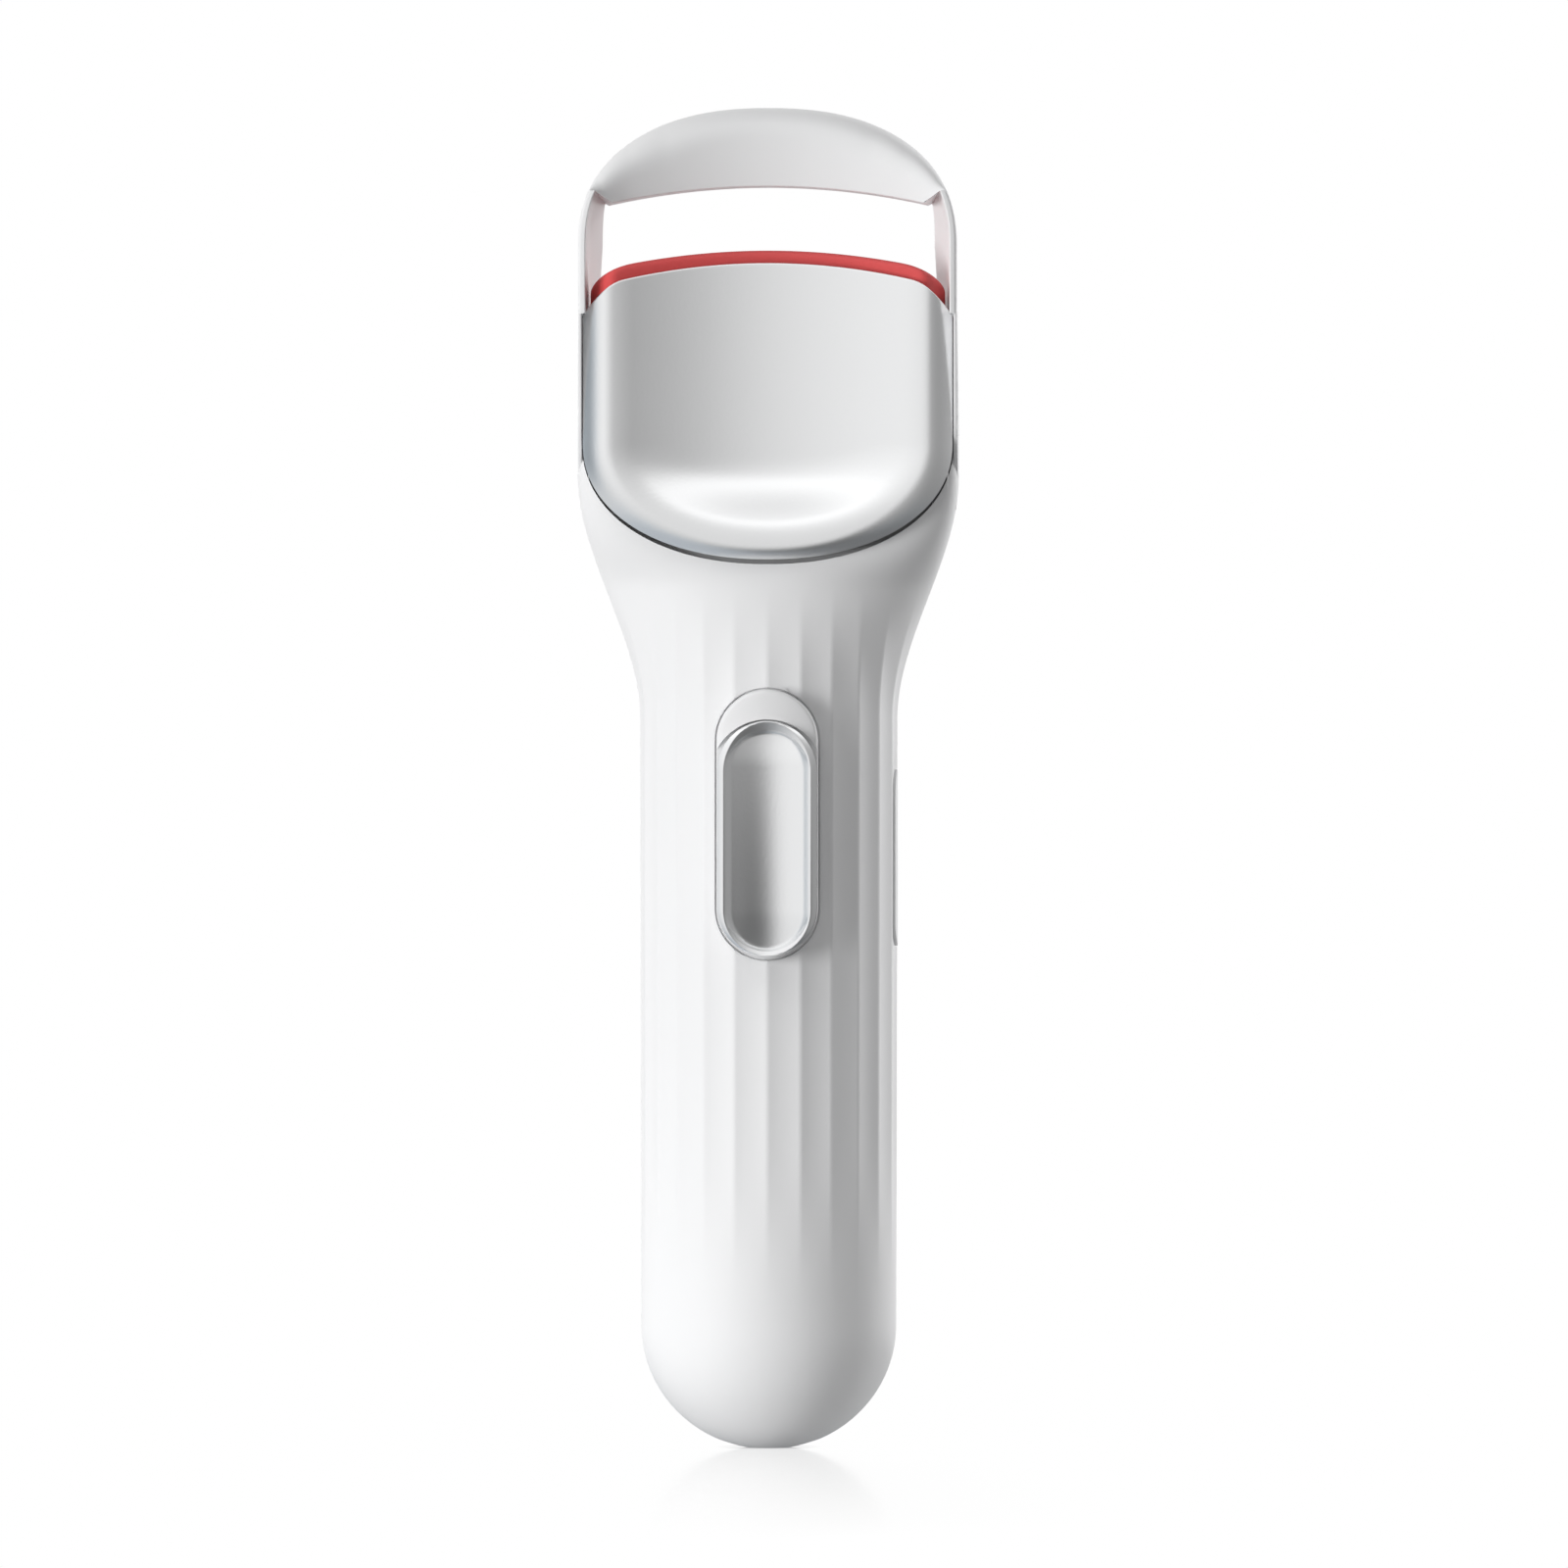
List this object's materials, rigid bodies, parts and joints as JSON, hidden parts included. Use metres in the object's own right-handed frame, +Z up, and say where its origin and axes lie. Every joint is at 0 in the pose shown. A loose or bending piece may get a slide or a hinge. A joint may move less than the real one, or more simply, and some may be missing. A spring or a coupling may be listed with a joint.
{
  "type": "eyelash curler",
  "caption": "Heated clamping eyelash curler: fluted white handle, hoop with a curved upper jaw, red pad on a lower jaw behind a scooped metal cover, worked by a thumb slide.",
  "frame": {"origin": "bottom centre of the whole curler, on the surface that its foot stands on", "axes": "+Z up along the handle towards the hoop, -Y towards the side held to the eye, +X towards the side with the key"},
  "size_m": [0.0354, 0.0254, 0.125],
  "materials": {
    "white_abs": "satin moulded",
    "satin_metal": "satin",
    "red_silicone": "matt",
    "aluminium_bar": "as extruded",
    "amber_film": "glossy film",
    "grey_nylon": "matt moulded",
    "thermistor_glass": "glossy",
    "zinc_steel": "zinc plated",
    "board_green": "solder mask",
    "cell_wrap": "shrink sleeve"
  },
  "bodies": {
    "handle": {"front_shell": "white_abs", "rear_shell": "white_abs", "jaw_cover": "satin_metal", "return_spring": "zinc_steel", "heater_ribbon": "amber_film", "circuit_board": "board_green", "board_screw_upper": "zinc_steel", "board_screw_lower": "zinc_steel", "key_switch": "thermistor_glass", "battery": "cell_wrap", "usb_socket": "zinc_steel", "charge_board": "board_green"},
    "jaw": {"slide_button": "white_abs", "thumb_dish": "satin_metal", "button_screw_lower": "zinc_steel", "button_screw_upper": "zinc_steel", "sled_bar": "grey_nylon", "sled_screw_lower": "zinc_steel", "sled_screw_upper": "zinc_steel", "jaw_carrier": "grey_nylon", "heater_bar": "aluminium_bar", "heater_film": "amber_film", "thermistor": "thermistor_glass", "lash_pad": "red_silicone"},
    "key": {"side_key": "white_abs"}
  },
  "joints": [
    {"name": "jaw_slide", "type": "slide", "parent": "handle", "child": "jaw", "axis": [0, 0, 1], "range_m": [0, 0.0057], "stiffness_N_per_m": 150, "springref_m": -0.003, "deforming": ["return_spring", "heater_ribbon"]},
    {"name": "key_press", "type": "slide", "parent": "handle", "child": "key", "axis": [-1, 0, 0], "range_m": [0, 0.0005], "stiffness_N_per_m": 800, "springref_m": -0.0003}
  ]
}
